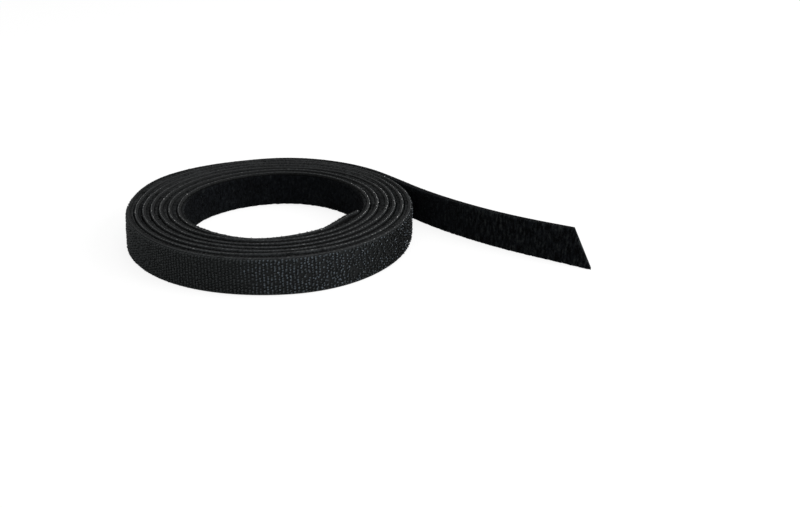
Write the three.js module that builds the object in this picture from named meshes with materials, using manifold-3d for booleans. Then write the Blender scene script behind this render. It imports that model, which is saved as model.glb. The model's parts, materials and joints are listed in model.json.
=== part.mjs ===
// Roll of back-to-back hook-and-loop tape, lying on its edges.
// The tape is wound into a coil without a core, loop side in and hook side out, and its outer end has come
// free of the outermost turn as a tail with a slanted cut.
// Millimetres, +Z up, standing on Z = 0 with the origin under the middle of the whole outline.

import * as THREE from "three";
import { mergeVertices } from "three/addons/utils/BufferGeometryUtils.js";
import Module from "manifold-3d";

// Tape section: the layers from the loop side to the hook side
const TAPE_WIDTH = 10;
const PILE_DEPTH = 0.85;
const LOOP_WEB_THICKNESS = 0.3;
const BOND_FILM_THICKNESS = 0.12;
const HOOK_WEB_THICKNESS = 0.4;
const LAYER_GAP = 0.02;
const PILE_EDGE_MARGIN = 0.3;

// Coil
const BORE_RADIUS = 24.1;
const TURNS = 6.849;
const TURN_GAP = 0.59;
const INNER_END_ANGLE = -21;
const STEPS_PER_TURN = 32;

// Tail: an arc that leaves the coil, a longer arc that sweeps back, and a straight end
const TAIL_LEAD_LENGTH = 12;
const TAIL_LEAD_TURN = -3.5;
const TAIL_LEAD_STEPS = 3;
const TAIL_SWEEP_LENGTH = 44.3;
const TAIL_SWEEP_TURN = 22.6;
const TAIL_SWEEP_STEPS = 10;
const TAIL_END_LENGTH = 19;
const TAIL_CUT_SLANT = 5.1;
const PEEL_GAP = 0.3;

// Hook rows: one row across the tape is one hooked profile
const HOOK_PITCH = 0.9;
const HOOK_HEIGHT = 0.4;
const HOOK_STEM = 0.2;
const HOOK_REACH = 0.42;
const HOOK_CARRIER_THICKNESS = 0.1;
const HOOK_EDGE_MARGIN = 0.45;
const HOOK_END_MARGIN = 0.9;
const HOOK_TAIL_CLEARANCE = 2.5;

// Values that follow from the driving dimensions
const TURN = 2 * Math.PI;
const LOOP_WEB_FACE = PILE_DEPTH + LAYER_GAP;
const BOND_FILM_FACE = LOOP_WEB_FACE + LOOP_WEB_THICKNESS + LAYER_GAP;
const HOOK_WEB_FACE = BOND_FILM_FACE + BOND_FILM_THICKNESS + LAYER_GAP;
const TAPE_THICKNESS = HOOK_WEB_FACE + HOOK_WEB_THICKNESS;
const TURN_PITCH = TAPE_THICKNESS + TURN_GAP;
const CARRIER_FACE = TAPE_THICKNESS + LAYER_GAP;
const HOOK_ROOT = CARRIER_FACE + HOOK_CARRIER_THICKNESS;
const OUTER_RADIUS = BORE_RADIUS + TURNS * TURN_PITCH + HOOK_ROOT;
const TAIL_LENGTH = TAIL_LEAD_LENGTH + TAIL_SWEEP_LENGTH + TAIL_END_LENGTH;

const COLOURS = {
  hook_rows: 0x24272b,
  hook_web: 0x1b1d1f,
  bond_film: 0x3c3c3a,
  loop_web: 0x232425,
  loop_pile: 0x0e0f12,
};
const ROUGHNESS = {
  hook_rows: 0.45,
  hook_web: 0.6,
  bond_film: 0.5,
  loop_web: 0.8,
  loop_pile: 0.95,
};

const wasm = await Module();
wasm.setup();

const radians = THREE.MathUtils.degToRad;

// A station is a place on the pile face of the tape, seen from above, with the tape's direction there.
function station(x, y, heading) {
  return { x, y, heading };
}

// Place at an offset from the pile face, along the outward normal, which lies to the left of the heading.
function place(at, offset) {
  return new THREE.Vector2(
    at.x - offset * Math.sin(at.heading),
    at.y + offset * Math.cos(at.heading),
  );
}

// The coil winds clockwise and grows by one turn pitch each turn.
function coilStation(turn) {
  const angle = radians(INNER_END_ANGLE) - turn * TURN;
  const radius = BORE_RADIUS + turn * TURN_PITCH;
  return station(radius * Math.cos(angle), radius * Math.sin(angle), angle - TURN / 4);
}

// Place reached by running along an arc that turns evenly over its length.
function alongArc(from, length, turnAngle) {
  const heading = from.heading + turnAngle;
  const middle = from.heading + turnAngle / 2;
  const half = turnAngle / 2;
  const chord = half === 0 ? length : (length * Math.sin(half)) / half;
  return station(from.x + chord * Math.cos(middle), from.y + chord * Math.sin(middle), heading);
}

const peelLine = coilStation(TURNS);
const leadEnd = alongArc(peelLine, TAIL_LEAD_LENGTH, radians(TAIL_LEAD_TURN));
const sweepEnd = alongArc(leadEnd, TAIL_SWEEP_LENGTH, radians(TAIL_SWEEP_TURN));
const tailTip = alongArc(sweepEnd, TAIL_END_LENGTH, 0);

function tailStation(length) {
  if (length <= TAIL_LEAD_LENGTH) {
    return alongArc(peelLine, length, radians((TAIL_LEAD_TURN * length) / TAIL_LEAD_LENGTH));
  }
  const swept = length - TAIL_LEAD_LENGTH;
  if (swept <= TAIL_SWEEP_LENGTH) {
    return alongArc(leadEnd, swept, radians((TAIL_SWEEP_TURN * swept) / TAIL_SWEEP_LENGTH));
  }
  return alongArc(sweepEnd, swept - TAIL_SWEEP_LENGTH, 0);
}

// Stations on the even grid of the coil, with its two ends put in.
function coilStations(first, last) {
  const stations = [coilStation(first)];
  for (let step = Math.floor(first * STEPS_PER_TURN) + 1; step < last * STEPS_PER_TURN; step += 1) {
    stations.push(coilStation(step / STEPS_PER_TURN));
  }
  stations.push(coilStation(last));
  return stations;
}

function tailStations(first) {
  const stations = [tailStation(first)];
  for (let step = 1; step < TAIL_LEAD_STEPS; step += 1) {
    stations.push(tailStation((TAIL_LEAD_LENGTH * step) / TAIL_LEAD_STEPS));
  }
  for (let step = 0; step <= TAIL_SWEEP_STEPS; step += 1) {
    stations.push(tailStation(TAIL_LEAD_LENGTH + (TAIL_SWEEP_LENGTH * step) / TAIL_SWEEP_STEPS));
  }
  stations.push(tailTip);
  return stations;
}

// A closed outline seen from above, raised into a solid that keeps a margin to both edges of the tape.
function raise(outline, edgeMargin) {
  const depth = TAPE_WIDTH - 2 * edgeMargin;
  const geometry = new THREE.ExtrudeGeometry(new THREE.Shape(outline), { depth, bevelEnabled: false });
  geometry.translate(0, 0, edgeMargin);
  return geometry;
}

// One layer of the tape: the strip between two offsets along a run of stations.
function layer(stations, innerFace, thickness, edgeMargin) {
  const outer = stations.map((at) => place(at, innerFace + thickness));
  const inner = stations.map((at) => place(at, innerFace));
  return raise([...outer, ...inner.reverse()], edgeMargin);
}

// A hook seen along its row: a stem that bends over at the top and ends in a tip pointing along the tape.
const HOOK_PROFILE = [
  { along: 0, out: 0 },
  { along: 0, out: HOOK_HEIGHT },
  { along: HOOK_REACH, out: HOOK_HEIGHT * 0.7 },
  { along: HOOK_STEM, out: HOOK_HEIGHT * 0.55 },
  { along: HOOK_STEM, out: 0 },
];

// Rows of hooks on a thin carrier. stationAt gives the station at a length along the hook face.
function hookRows(backing, stationAt, firstLength, lastLength) {
  const outer = [place(stationAt(firstLength), HOOK_ROOT)];
  const lastRoot = lastLength - HOOK_REACH;
  for (let root = firstLength + HOOK_STEM; root < lastRoot; root += HOOK_PITCH) {
    for (const { along, out } of HOOK_PROFILE) {
      outer.push(place(stationAt(root + along), HOOK_ROOT + out));
    }
  }
  outer.push(place(stationAt(lastLength), HOOK_ROOT));
  const inner = backing.map((at) => place(at, CARRIER_FACE));
  return raise([...outer, ...inner.reverse()], HOOK_EDGE_MARGIN);
}

// The turn count at a length along the hook face of the outermost turn, measured from the peel line.
function outerTurn(length) {
  return TURNS + length / (TURN * OUTER_RADIUS);
}

// The outermost turn is bare where the tail still lies close over it.
function coilHookRows() {
  const bareArc = Math.sqrt(2 * OUTER_RADIUS * (HOOK_HEIGHT + HOOK_TAIL_CLEARANCE));
  const firstLength = bareArc - TURN * OUTER_RADIUS;
  const lastLength = -HOOK_END_MARGIN;
  const backing = coilStations(outerTurn(firstLength), outerTurn(lastLength));
  return hookRows(backing, (length) => coilStation(outerTurn(length)), firstLength, lastLength);
}

function tailHookRows() {
  return hookRows(tailStations(HOOK_END_MARGIN), tailStation, HOOK_END_MARGIN, TAIL_LENGTH);
}

function toSolid(geometry) {
  const bare = geometry.clone();
  bare.deleteAttribute("normal");
  bare.deleteAttribute("uv");
  const merged = mergeVertices(bare);
  const mesh = new wasm.Mesh({
    numProp: 3,
    vertProperties: new Float32Array(merged.attributes.position.array),
    triVerts: new Uint32Array(merged.index.array),
  });
  return new wasm.Manifold(mesh);
}

function toGeometry(solid) {
  const { vertProperties, triVerts } = solid.getMesh();
  const geometry = new THREE.BufferGeometry();
  geometry.setAttribute("position", new THREE.BufferAttribute(vertProperties, 3));
  geometry.setIndex(new THREE.BufferAttribute(triVerts, 1));
  geometry.computeVertexNormals();
  return geometry;
}

// Everything past the slanted cut: the tail is longest at the edge that it stands on.
function tailOffcut() {
  const reach = TAIL_CUT_SLANT + TAPE_WIDTH;
  const lean = TAIL_CUT_SLANT / TAPE_WIDTH;
  const outline = [
    new THREE.Vector2(lean * TAPE_WIDTH, -TAPE_WIDTH),
    new THREE.Vector2(reach, -TAPE_WIDTH),
    new THREE.Vector2(reach, 2 * TAPE_WIDTH),
    new THREE.Vector2(-2 * lean * TAPE_WIDTH, 2 * TAPE_WIDTH),
  ];
  const depth = 4 * TURN_PITCH;
  const geometry = new THREE.ExtrudeGeometry(new THREE.Shape(outline), { depth, bevelEnabled: false });
  const along = new THREE.Vector3(Math.cos(tailTip.heading), Math.sin(tailTip.heading), 0);
  const up = new THREE.Vector3(0, 0, 1);
  const inward = new THREE.Vector3().crossVectors(along, up);
  const start = place(tailTip, depth / 2);
  const frame = new THREE.Matrix4().makeBasis(along, up, inward);
  frame.setPosition(start.x, start.y, 0);
  return toSolid(geometry.applyMatrix4(frame));
}

const offcut = tailOffcut();

function cutTail(geometry) {
  return toGeometry(toSolid(geometry).subtract(offcut));
}

// The least gap between the tape and the turns inside it, measured on points of its two faces.
function leastTurnGap(stations) {
  const pileFace = stations.map((at) => place(at, 0));
  const hookFace = stations.map((at) => place(at, TAPE_THICKNESS));
  const halfTurn = STEPS_PER_TURN / 2;
  let least = Infinity;
  for (let outer = halfTurn; outer < stations.length; outer += 1) {
    for (let inner = 0; inner < outer - halfTurn; inner += 1) {
      least = Math.min(least, pileFace[outer].distanceTo(hookFace[inner]));
    }
  }
  return least;
}

const roll = new THREE.Group();

function addPiece(kind, where, geometry) {
  const material = new THREE.MeshStandardMaterial({
    color: COLOURS[kind],
    roughness: ROUGHNESS[kind],
    metalness: 0,
  });
  const piece = new THREE.Mesh(geometry, material);
  piece.name = `${kind}_${where}`;
  roll.add(piece);
}

const coil = coilStations(0, TURNS);
const tail = tailStations(PEEL_GAP);
const layers = [
  ["loop_pile", 0, PILE_DEPTH, PILE_EDGE_MARGIN],
  ["loop_web", LOOP_WEB_FACE, LOOP_WEB_THICKNESS, 0],
  ["bond_film", BOND_FILM_FACE, BOND_FILM_THICKNESS, 0],
  ["hook_web", HOOK_WEB_FACE, HOOK_WEB_THICKNESS, 0],
];
for (const [kind, innerFace, thickness, edgeMargin] of layers) {
  addPiece(kind, "coil", layer(coil, innerFace, thickness, edgeMargin));
  addPiece(kind, "tail", cutTail(layer(tail, innerFace, thickness, edgeMargin)));
}
addPiece("hook_rows", "coil", coilHookRows());
addPiece("hook_rows", "tail", cutTail(tailHookRows()));

const box = new THREE.Box3().setFromObject(roll);
const middle = box.getCenter(new THREE.Vector3());
roll.position.set(-middle.x, -middle.y, -box.min.z);

const hinge = place(peelLine, TAPE_THICKNESS);
const coilLength = TURN * TURNS * (BORE_RADIUS + (TURNS * TURN_PITCH) / 2);
console.log(`least gap between turns ${leastTurnGap([...coil, ...tail]).toFixed(3)} mm`);
console.log(`tape length ${(coilLength + TAIL_LENGTH).toFixed(0)} mm`);
console.log(`coil axis at ${(-middle.x).toFixed(3)}, ${(-middle.y).toFixed(3)} mm`);
console.log(`peel line at ${(hinge.x - middle.x).toFixed(3)}, ${(hinge.y - middle.y).toFixed(3)} mm`);

const part = new THREE.Group();
part.add(roll);

export default part;
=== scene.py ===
"""Looks of a roll of hook and loop tape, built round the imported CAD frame.

Everything on the tape is laid out flat first: a length along the tape from its inner end, a depth from the
face of the loop pile towards the hook side, and a height across the tape. wound() then puts it on the roll.
"""

import json
import math

import bpy
import numpy as np
from mathutils import Matrix, Vector


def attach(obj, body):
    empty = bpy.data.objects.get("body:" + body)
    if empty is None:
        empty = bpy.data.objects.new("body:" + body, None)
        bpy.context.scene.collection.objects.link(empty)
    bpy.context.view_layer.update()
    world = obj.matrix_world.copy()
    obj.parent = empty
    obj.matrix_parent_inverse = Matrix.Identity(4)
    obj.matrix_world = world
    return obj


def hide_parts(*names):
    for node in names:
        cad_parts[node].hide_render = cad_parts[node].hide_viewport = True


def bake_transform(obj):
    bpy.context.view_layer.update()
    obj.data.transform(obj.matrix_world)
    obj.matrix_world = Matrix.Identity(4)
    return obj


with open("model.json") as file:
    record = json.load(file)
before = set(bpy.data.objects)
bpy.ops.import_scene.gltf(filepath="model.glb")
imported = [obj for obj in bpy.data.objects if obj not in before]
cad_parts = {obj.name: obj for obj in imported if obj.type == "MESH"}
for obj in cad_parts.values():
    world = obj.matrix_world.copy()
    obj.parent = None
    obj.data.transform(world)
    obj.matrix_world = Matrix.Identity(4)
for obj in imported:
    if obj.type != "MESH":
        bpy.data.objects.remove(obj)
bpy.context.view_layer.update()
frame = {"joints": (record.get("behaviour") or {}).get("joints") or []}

MM = 0.001

# Tape section, from the loop side to the hook side, as in the CAD source
TAPE_WIDTH = 10 * MM
PILE_DEPTH = 0.85 * MM
LOOP_WEB = (0.87 * MM, 1.17 * MM)
BOND_FILM = (1.19 * MM, 1.31 * MM)
HOOK_WEB = (1.33 * MM, 1.73 * MM)

# Coil and tail, as in the CAD source
BORE_RADIUS = 24.1 * MM
TURNS = 6.849
TURN_PITCH = 2.32 * MM
INNER_END_ANGLE = math.radians(-21)
TAIL_LEAD_LENGTH = 12 * MM
TAIL_LEAD_TURN = math.radians(-3.5)
TAIL_SWEEP_LENGTH = 44.3 * MM
TAIL_SWEEP_TURN = math.radians(22.6)
TAIL_END_LENGTH = 19 * MM

# Cut of the tail, which is a little more slanted than in the CAD source
CUT_SLANT = 6 * MM
CUT_REACH = 0.4 * MM
CUT_BEVEL = 0.63 * MM
CUT_HOLLOW = 0.55 * MM

# Out of round of the hand-wound coil: rows for what stays, grows and swells with the turns,
# columns for the mean, and the cosine and sine of one and of two waves a turn
SWAY = np.array([
    (0.041, -0.076, 0.292, 0.000, 0.060),
    (0.187, 0.080, 0.183, -0.151, -0.294),
    (-0.435, 0.184, -0.731, -0.077, -0.098),
]) * MM
SWAY_MIDDLE = 3.4
LEAN_FROM_TURN = 5.2
TAIL_SETTLING = 40 * MM

# Places where the tape, or only its lower edge, is pressed out or in: turn, spread in turns, distance
PRESSED = (
    (0.224, 0.058, 1.5 * MM),
    (2.940, 0.070, 0.45 * MM),
    (5.970, 0.075, -0.15 * MM),
    (6.543, 0.054, 1.0 * MM),
    (6.655, 0.040, -0.65 * MM),
    (6.840, 0.050, -0.12 * MM),
)
FOOT_PRESSED = (
    (5.970, 0.075, 0.12 * MM),
    (5.983, 0.055, -0.45 * MM),
    (6.136, 0.070, 0.85 * MM),
)

# Height of the tape's edge over the floor: the mean, and waves as rows of height, length and phase
LIFT = 0.05 * MM
LIFT_WAVES = (
    (0.04 * MM, 15.4 * MM, 0.3),
    (0.03 * MM, 6.5 * MM, 1.9),
)
INNER_LIFT = 1.3
INNER_LIFT_FADE = 60 * MM
LIFT_FADE = 30 * MM

# Inner end, which stands off into the bore and curls back, and the twist of the tail
FLAP_IN = -1.1 * MM
FLAP_START = 17 * MM
FLAP_BEND = 9 * MM
CURL_OUT = 1.3 * MM
CURL_LENGTH = 5 * MM
TWIST = 1.1 * MM
TWIST_START = 34 * MM
TWIST_LENGTH = 45 * MM
LEAN_BACK = 0.65 * MM
LEAN_BACK_START = 58 * MM
LEAN_BACK_LENGTH = 20 * MM

# Where the edges of the turns face the front or the back: distances from the coil's axis,
# and the sine of a turn's angle from which it counts as the back
SIDE_NEAR = 20 * MM
SIDE_FAR = 34 * MM
BACK_FROM = 0.2
BACK_FADE = 0.4

# Hooks
HOOK_PITCH = 0.9 * MM
HOOK_ROWS = 14
HOOK_WIRE = 0.1 * MM
HOOK_FLATNESS = 2.7
HOOK_EDGE = 0.45 * MM
EDGE_ROW = 0.3 * MM
EDGE_ROW_RISE = 0.7
HOOK_ROOM = 0.6 * MM
HOOK_TO_CUT = 0.5 * MM
HOOK_SUNK = 0.02 * MM
HOOK_BEFORE_SEAM = 0.3 * MM
INNER_HOOK_INSET = (0.8 * MM, 2.2 * MM)
HOOKS_MISSING = 0.05

# Spread of the hooks along and across the tape, in turn and in size
HOOK_SPREAD_ALONG = 0.065 * MM
HOOK_SPREAD_ACROSS = 0.11 * MM
HOOK_SPREAD_TURN = 0.14
HOOK_SPREAD_LENGTH = 0.14
HOOK_SPREAD_RISE = 0.08
HOOK_SPREAD_WIRE = 0.1

# Hooks from which the tail was pulled: how far they stand unevenly, carry painted shade and sparkle with
# painted glints
RUFFLED_LENGTH = 55 * MM
RUFFLED_FADE = 28 * MM
RUFFLED_SPREAD = 3
RUFFLED_NARROWING = 1.2
SHADOWED_LENGTH = 38 * MM
SHADOWED_FADE = 32 * MM
SPARKLING_LENGTH = 38 * MM
SPARKLING_FADE = 10 * MM

# Side of the roll away from the lamp, whose hooks get painted shade and lose their painted highlight, as the
# cosine of the angle from its middle
SHADED_SIDE_ANGLE = math.radians(-155)
SHADED_SIDE_FROM = 0.45
SHADED_SIDE_FADE = 0.28

# Shades of the hooks, from the numbers drawn for them: the brightest carry painted glints, and darker ones
# painted shade
BRIGHT_FROM = 0.98
SPARKLING_MORE = 0.08
BRIGHT_BELOW_SHADED_SIDE = 0.6
UNSHADOWED_FROM = 0.81
MOST_SHADE = 0.88
CALM_SHADE = 0.84
FOOT_SHADOW = 0.5
SHADED_SIDE_DARK = 0.25

# Pile
FREE_PILE = -0.05 * MM
FLAP_PILE = -0.6 * MM
FLAP_TURNS = 1.13
GRIPPED_PILE = -1.6 * MM
GRIP_LENGTH = 5 * MM
FREEING_LENGTH = 9 * MM
PILE_CLEAR = 0.06 * MM
LEAST_PILE = 0.15 * MM
PILE_SHOULDER = 0.34 * MM
PILE_RIM = 0.1 * MM
PILE_MARGIN = 0.45 * MM
LEAST_PILE_MARGIN = 0.07 * MM
FOOT_PILE_MARGIN = 0.1 * MM
FULL_FROM_TURN = 2.2
FULL_FADE_TURNS = 2
LAST_TURN_FULL = 0.6
LAST_TURN_FULL_FADE = 60 * MM

# Bed of the pile: points across it, roughness of its face and edges, and room over the floor
BED_POINTS = 21
BED_ROUGHNESS = 0.035 * MM
BED_RAGGEDNESS = 0.04 * MM
BED_CLEAR = 0.02 * MM
BED_EDGE_POWER = 30
SHOULDER_FROM = 0.7
SHOULDER_FADE = 0.25

# Loops of the pile: yarn, span and rise of those on its face, span and share of the margin at the edges
LOOP_YARN = 0.032 * MM
LOOP_SUNK = 0.05 * MM
LOOP_SPAN = (0.25 * MM, 0.7 * MM)
LOOP_RISE = (0.14 * MM, 0.34 * MM)
LOOP_LEAN = 0.45
LOOP_INSET = 0.25 * MM
EDGE_LOOP_SPAN = (0.2 * MM, 0.55 * MM)
EDGE_LOOP_RISE = (0.25, 0.85)
EDGE_LOOP_DEPTH = (0.15, 1)
EDGE_LOOP_LEAN = 0.35
EDGE_LOOP_TURN = 0.4
EDGE_LOOP_CLEAR = 0.22 * MM
STREAK_WIDTH = 0.45 * MM
STREAK_LENGTH = 2.6 * MM
STREAK_LEAST = 0.15
STREAK_MORE = 1.7
COIL_STREAKS = 0.8
TAIL_STREAKS = 2.2
BORE_LOOPS = 8000
BORE_LOOPS_FROM = 0.2 * MM
TAIL_LOOPS = 4500
TAIL_LOOPS_FROM = 6 * MM
COIL_EDGE_LOOPS = 5200
TAIL_EDGE_LOOPS = 340

# Shading of the pile: ruffled on the tail, edges darker at the front and at the back of the bore as painted
# shade, and darker near the tail
RUFFLED_PILE = (8 * MM, 45 * MM)
FRONT_RIM = 0.68
BORE_SHADE = 0.6
BORE_SHADE_FADE = 15 * MM
BORE_SHARE = 0.9
BORE_LOOP_SHADE = 0.7
BORE_LOOP_SHARE = 0.95
TAIL_LOOP_SHADE = 0.9
DARK_BEFORE_PEEL = 30 * MM

# Selvedge yarns of the hook web, with painted shade on the last part of the roll
SELVEDGE_PITCH = 1.15 * MM
SELVEDGE_YARN = 0.075 * MM
SELVEDGE_DASH = (0.65 * MM, 1.1 * MM)
SELVEDGE_BOW = (0.02 * MM, 0.07 * MM)
SELVEDGE_SPREAD_ALONG = 0.08 * MM
SELVEDGE_SPREAD_DEPTH = 0.05 * MM
SELVEDGE_SPREAD_TILT = 0.08
SHADE_BEFORE_PEEL = 105 * MM
SHADE_FADE_LENGTH = 45 * MM
SHADE_KEPT = 0.06

# Brightness of the selvedge: everywhere, painted glints on both sides of the roll, painted light on its
# right where the lamp falls, its swing along the tape, and a bright place
SELVEDGE_BASE = 0.6
GLINT_ON_SIDES = 0.55
LIGHT_ON_RIGHT = 0.8
SELVEDGE_SWING = 0.35
SELVEDGE_WAVES = (4.3 * MM, 2.7 * MM)
BRIGHT_END = 2.5
BRIGHT_SPECK = 2
SPECK_TURN = 1.004
SPECK_SPREAD = 0.006
BACK_DULL = 0.35
OUTER_BACK_DULL = 0.45
OUTER_FROM_TURN = 1.6
OUTER_FADE_TURNS = 1.4
FLAP_DULL = 0.5
LAST_TURN_DULL = 0.38
LAST_TURN_DULL_FADE = 20 * MM
YARN_SHADE = 0.3
YARN_SHADE_SPREAD = 0.25
BRIGHT_YARN_FROM = 0.92
BRIGHT_YARN_MORE = 0.4

# Weave and scuffs of the webs, and the painted sheen taken off the last turn's front
WARP_PITCH = 0.5 * MM
FINE_SCUFFS = 0.55
LAST_TURN_FADE = 40 * MM
LAST_TURN_LESS_SHEEN = 0.35

# Yarn ends that stand out of the inner end
FRAYED_ENDS = 90
FRAY_HEIGHTS = (0.6 * MM, 9.8 * MM)
FRAY_YARN = 0.03 * MM
FRAY_REACH = (0.12 * MM, 0.42 * MM)
FRAY_BOW = 0.08 * MM
FRAY_SUNK = 0.06 * MM
FRAY_SPREAD = 0.3

# Camera of the photograph, from the coil's axis on the floor
CAMERA_BACK = 294.98 * MM
CAMERA_UP = 119.17 * MM
CAMERA_YAW = 0.1235
CAMERA_PITCH = 0.4031
CAMERA_ROLL = 0.0039
CAMERA_LENS = 49.405

# Lengths along the tape
FIRST_TURN = 2 * math.pi * BORE_RADIUS + math.pi * TURN_PITCH
COIL_LENGTH = 2 * math.pi * TURNS * (BORE_RADIUS + TURN_PITCH * TURNS / 2)
LAST_TURN_START = 2 * math.pi * (TURNS - 1) * (BORE_RADIUS + TURN_PITCH * (TURNS - 1) / 2)
TAIL_LENGTH = TAIL_LEAD_LENGTH + TAIL_SWEEP_LENGTH + TAIL_END_LENGTH
TAPE_LENGTH = COIL_LENGTH + TAIL_LENGTH
BEND_BEFORE = 3.5 * MM
BEND_AFTER = 5.5 * MM
SEAM = COIL_LENGTH - BEND_BEFORE

HINGE = Vector(frame["joints"][0]["pos_m"])
PEEL_ANGLE = INNER_END_ANGLE - 2 * math.pi * TURNS
PEEL_RADIUS = BORE_RADIUS + TURN_PITCH * TURNS + HOOK_WEB[1]
COIL_AXIS = HINGE - PEEL_RADIUS * Vector((math.cos(PEEL_ANGLE), math.sin(PEEL_ANGLE), 0))


# Layout of the tape

def run_arc(x, y, heading, run, turn_rate):
    """Runs along an arc from each place and returns the places reached."""
    half = run * turn_rate / 2
    chord = run * np.sinc(half / np.pi)
    return x + chord * np.cos(heading + half), y + chord * np.sin(heading + half), heading + 2 * half


def ease(share):
    """A smooth step from 0 to 1."""
    share = np.clip(share, 0, 1)
    return share * share * (3 - 2 * share)


def coil_turn(length):
    """Turns wound between the inner end and each length."""
    coiled = np.clip(length, 0, COIL_LENGTH)
    return (np.sqrt(BORE_RADIUS**2 + TURN_PITCH * coiled / np.pi) - BORE_RADIUS) / TURN_PITCH


def coil_angle(turn):
    return INNER_END_ANGLE - 2 * np.pi * turn


def behind(turn):
    """1 at the back of the roll, and 0 at its front and sides."""
    return ease((np.sin(coil_angle(turn)) - BACK_FROM) / BACK_FADE)


def bumps(turn, places):
    """The sum of smooth swellings at the given places."""
    return sum(out * np.exp(-((turn - place) / spread) ** 2) for place, spread, out in places)


def sway(turn):
    """How far the hand-wound tape strays outwards from an even spiral."""
    angle = coil_angle(turn)
    level = np.ones_like(turn)
    share = turn / SWAY_MIDDLE - 1
    growth = np.stack([level, share, share**2], -1)
    waves = [level, np.cos(angle), np.sin(angle), np.cos(2 * angle), np.sin(2 * angle)]
    gentle = np.sum((growth @ SWAY) * np.stack(waves, -1), -1)
    length = 2 * np.pi * turn * (BORE_RADIUS + TURN_PITCH * turn / 2)
    flap = FLAP_IN * ease((FLAP_START - length) / FLAP_BEND) + CURL_OUT * ease(1 - length / CURL_LENGTH)
    return gentle + bumps(turn, PRESSED) + flap


def strayed(turn, height):
    """How far the tape strays outwards at each height: the last turns lean, and the foot is pressed."""
    foot = 1 - np.clip(height / TAPE_WIDTH, 0, 1)
    lean = ease(turn - LEAN_FROM_TURN) * foot
    return sway(turn) * (1 - lean) + bumps(turn, FOOT_PRESSED) * foot


def room_outside(turn, height):
    """Clear width between a turn's hook web and the loop web of the turn outside it."""
    step = TURN_PITCH + strayed(np.minimum(turn + 1, TURNS), height) - strayed(turn, height)
    return step + LOOP_WEB[0] - HOOK_WEB[1]


def lift(length):
    """How far the tape's edge stands off the floor: more on the inner turns, and nothing on the tail."""
    waves = sum(height * np.sin(length / run + phase) for height, run, phase in LIFT_WAVES)
    inner = 1 + INNER_LIFT * ease((LAST_TURN_START - length) / INNER_LIFT_FADE)
    return np.maximum(0, LIFT + waves) * inner * ease((COIL_LENGTH - length) / LIFT_FADE)


def wound(length, depth, height):
    """The places on the roll of points on the flat tape, as an array of rows x, y, z."""
    length, depth, height = np.broadcast_arrays(length, depth, height)
    turn = coil_turn(length)
    angle = coil_angle(turn)
    radius = BORE_RADIUS + TURN_PITCH * turn
    x, y, heading = radius * np.cos(angle), radius * np.sin(angle), angle - np.pi / 2
    past = np.maximum(length - COIL_LENGTH, 0)
    lead = np.minimum(past, TAIL_LEAD_LENGTH)
    sweep = np.clip(past - TAIL_LEAD_LENGTH, 0, TAIL_SWEEP_LENGTH)
    end = np.maximum(past - TAIL_LEAD_LENGTH - TAIL_SWEEP_LENGTH, 0)
    x, y, heading = run_arc(x, y, heading, lead, TAIL_LEAD_TURN / TAIL_LEAD_LENGTH)
    x, y, heading = run_arc(x, y, heading, sweep, TAIL_SWEEP_TURN / TAIL_SWEEP_LENGTH)
    x, y, heading = run_arc(x, y, heading, end, 0)
    before = np.minimum(length, 0)
    foot = 1 - np.clip(height / TAPE_WIDTH, 0, 1)
    twisted = TWIST * ease((past - TWIST_START) / TWIST_LENGTH) * foot
    leaning = LEAN_BACK * ease((past - LEAN_BACK_START) / LEAN_BACK_LENGTH) * (1 - foot)
    out = depth + strayed(turn, height) * (1 - ease(past / TAIL_SETTLING)) - twisted + leaning
    x = COIL_AXIS.x + x + before * np.cos(heading) - out * np.sin(heading)
    y = COIL_AXIS.y + y + before * np.sin(heading) + out * np.cos(heading)
    return np.stack([x, y, height + lift(length)], -1)


def tail_end(height, depth=HOOK_WEB[1]):
    """The length at which the slanted, bevelled and slightly hollow cut ends the tape."""
    share = np.clip(height / TAPE_WIDTH, 0, 1)
    bevel = CUT_BEVEL * (1 - depth / HOOK_WEB[1])
    return TAPE_LENGTH + CUT_REACH + bevel - CUT_SLANT * share - CUT_HOLLOW * np.sin(np.pi * share)


def to_cut(length, depth, height):
    """Draws the straight end of the tail back to the slanted cut."""
    straight = TAPE_LENGTH - TAIL_END_LENGTH
    share = (tail_end(height, depth) - straight) / TAIL_END_LENGTH
    return np.where(length > straight, straight + (length - straight) * share, length)


# Meshes

def new_piece(name, points, corners, counts, material, uv=None, values=None):
    """A smooth mesh piece from arrays: points, the corner list of all faces and each face's corner count."""
    mesh = bpy.data.meshes.new(name)
    mesh.vertices.add(len(points))
    mesh.vertices.foreach_set("co", np.ascontiguousarray(points, np.float32).ravel())
    mesh.loops.add(len(corners))
    mesh.loops.foreach_set("vertex_index", np.ascontiguousarray(corners, np.int32))
    mesh.polygons.add(len(counts))
    starts = np.concatenate([[0], np.cumsum(counts)[:-1]])
    mesh.polygons.foreach_set("loop_start", starts.astype(np.int32))
    mesh.update(calc_edges=True)
    mesh.validate()
    mesh.polygons.foreach_set("use_smooth", np.ones(len(mesh.polygons), bool))
    if uv is not None:
        layer = mesh.uv_layers.new(name="tape")
        layer.data.foreach_set("uv", np.ascontiguousarray(uv[corners], np.float32).ravel())
    for key, numbers in (values or {}).items():
        attribute = mesh.attributes.new(key, "FLOAT", "POINT")
        attribute.data.foreach_set("value", np.ascontiguousarray(numbers, np.float32))
    mesh.materials.append(material)
    piece = bpy.data.objects.new(name, mesh)
    bpy.context.scene.collection.objects.link(piece)
    return piece


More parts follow.
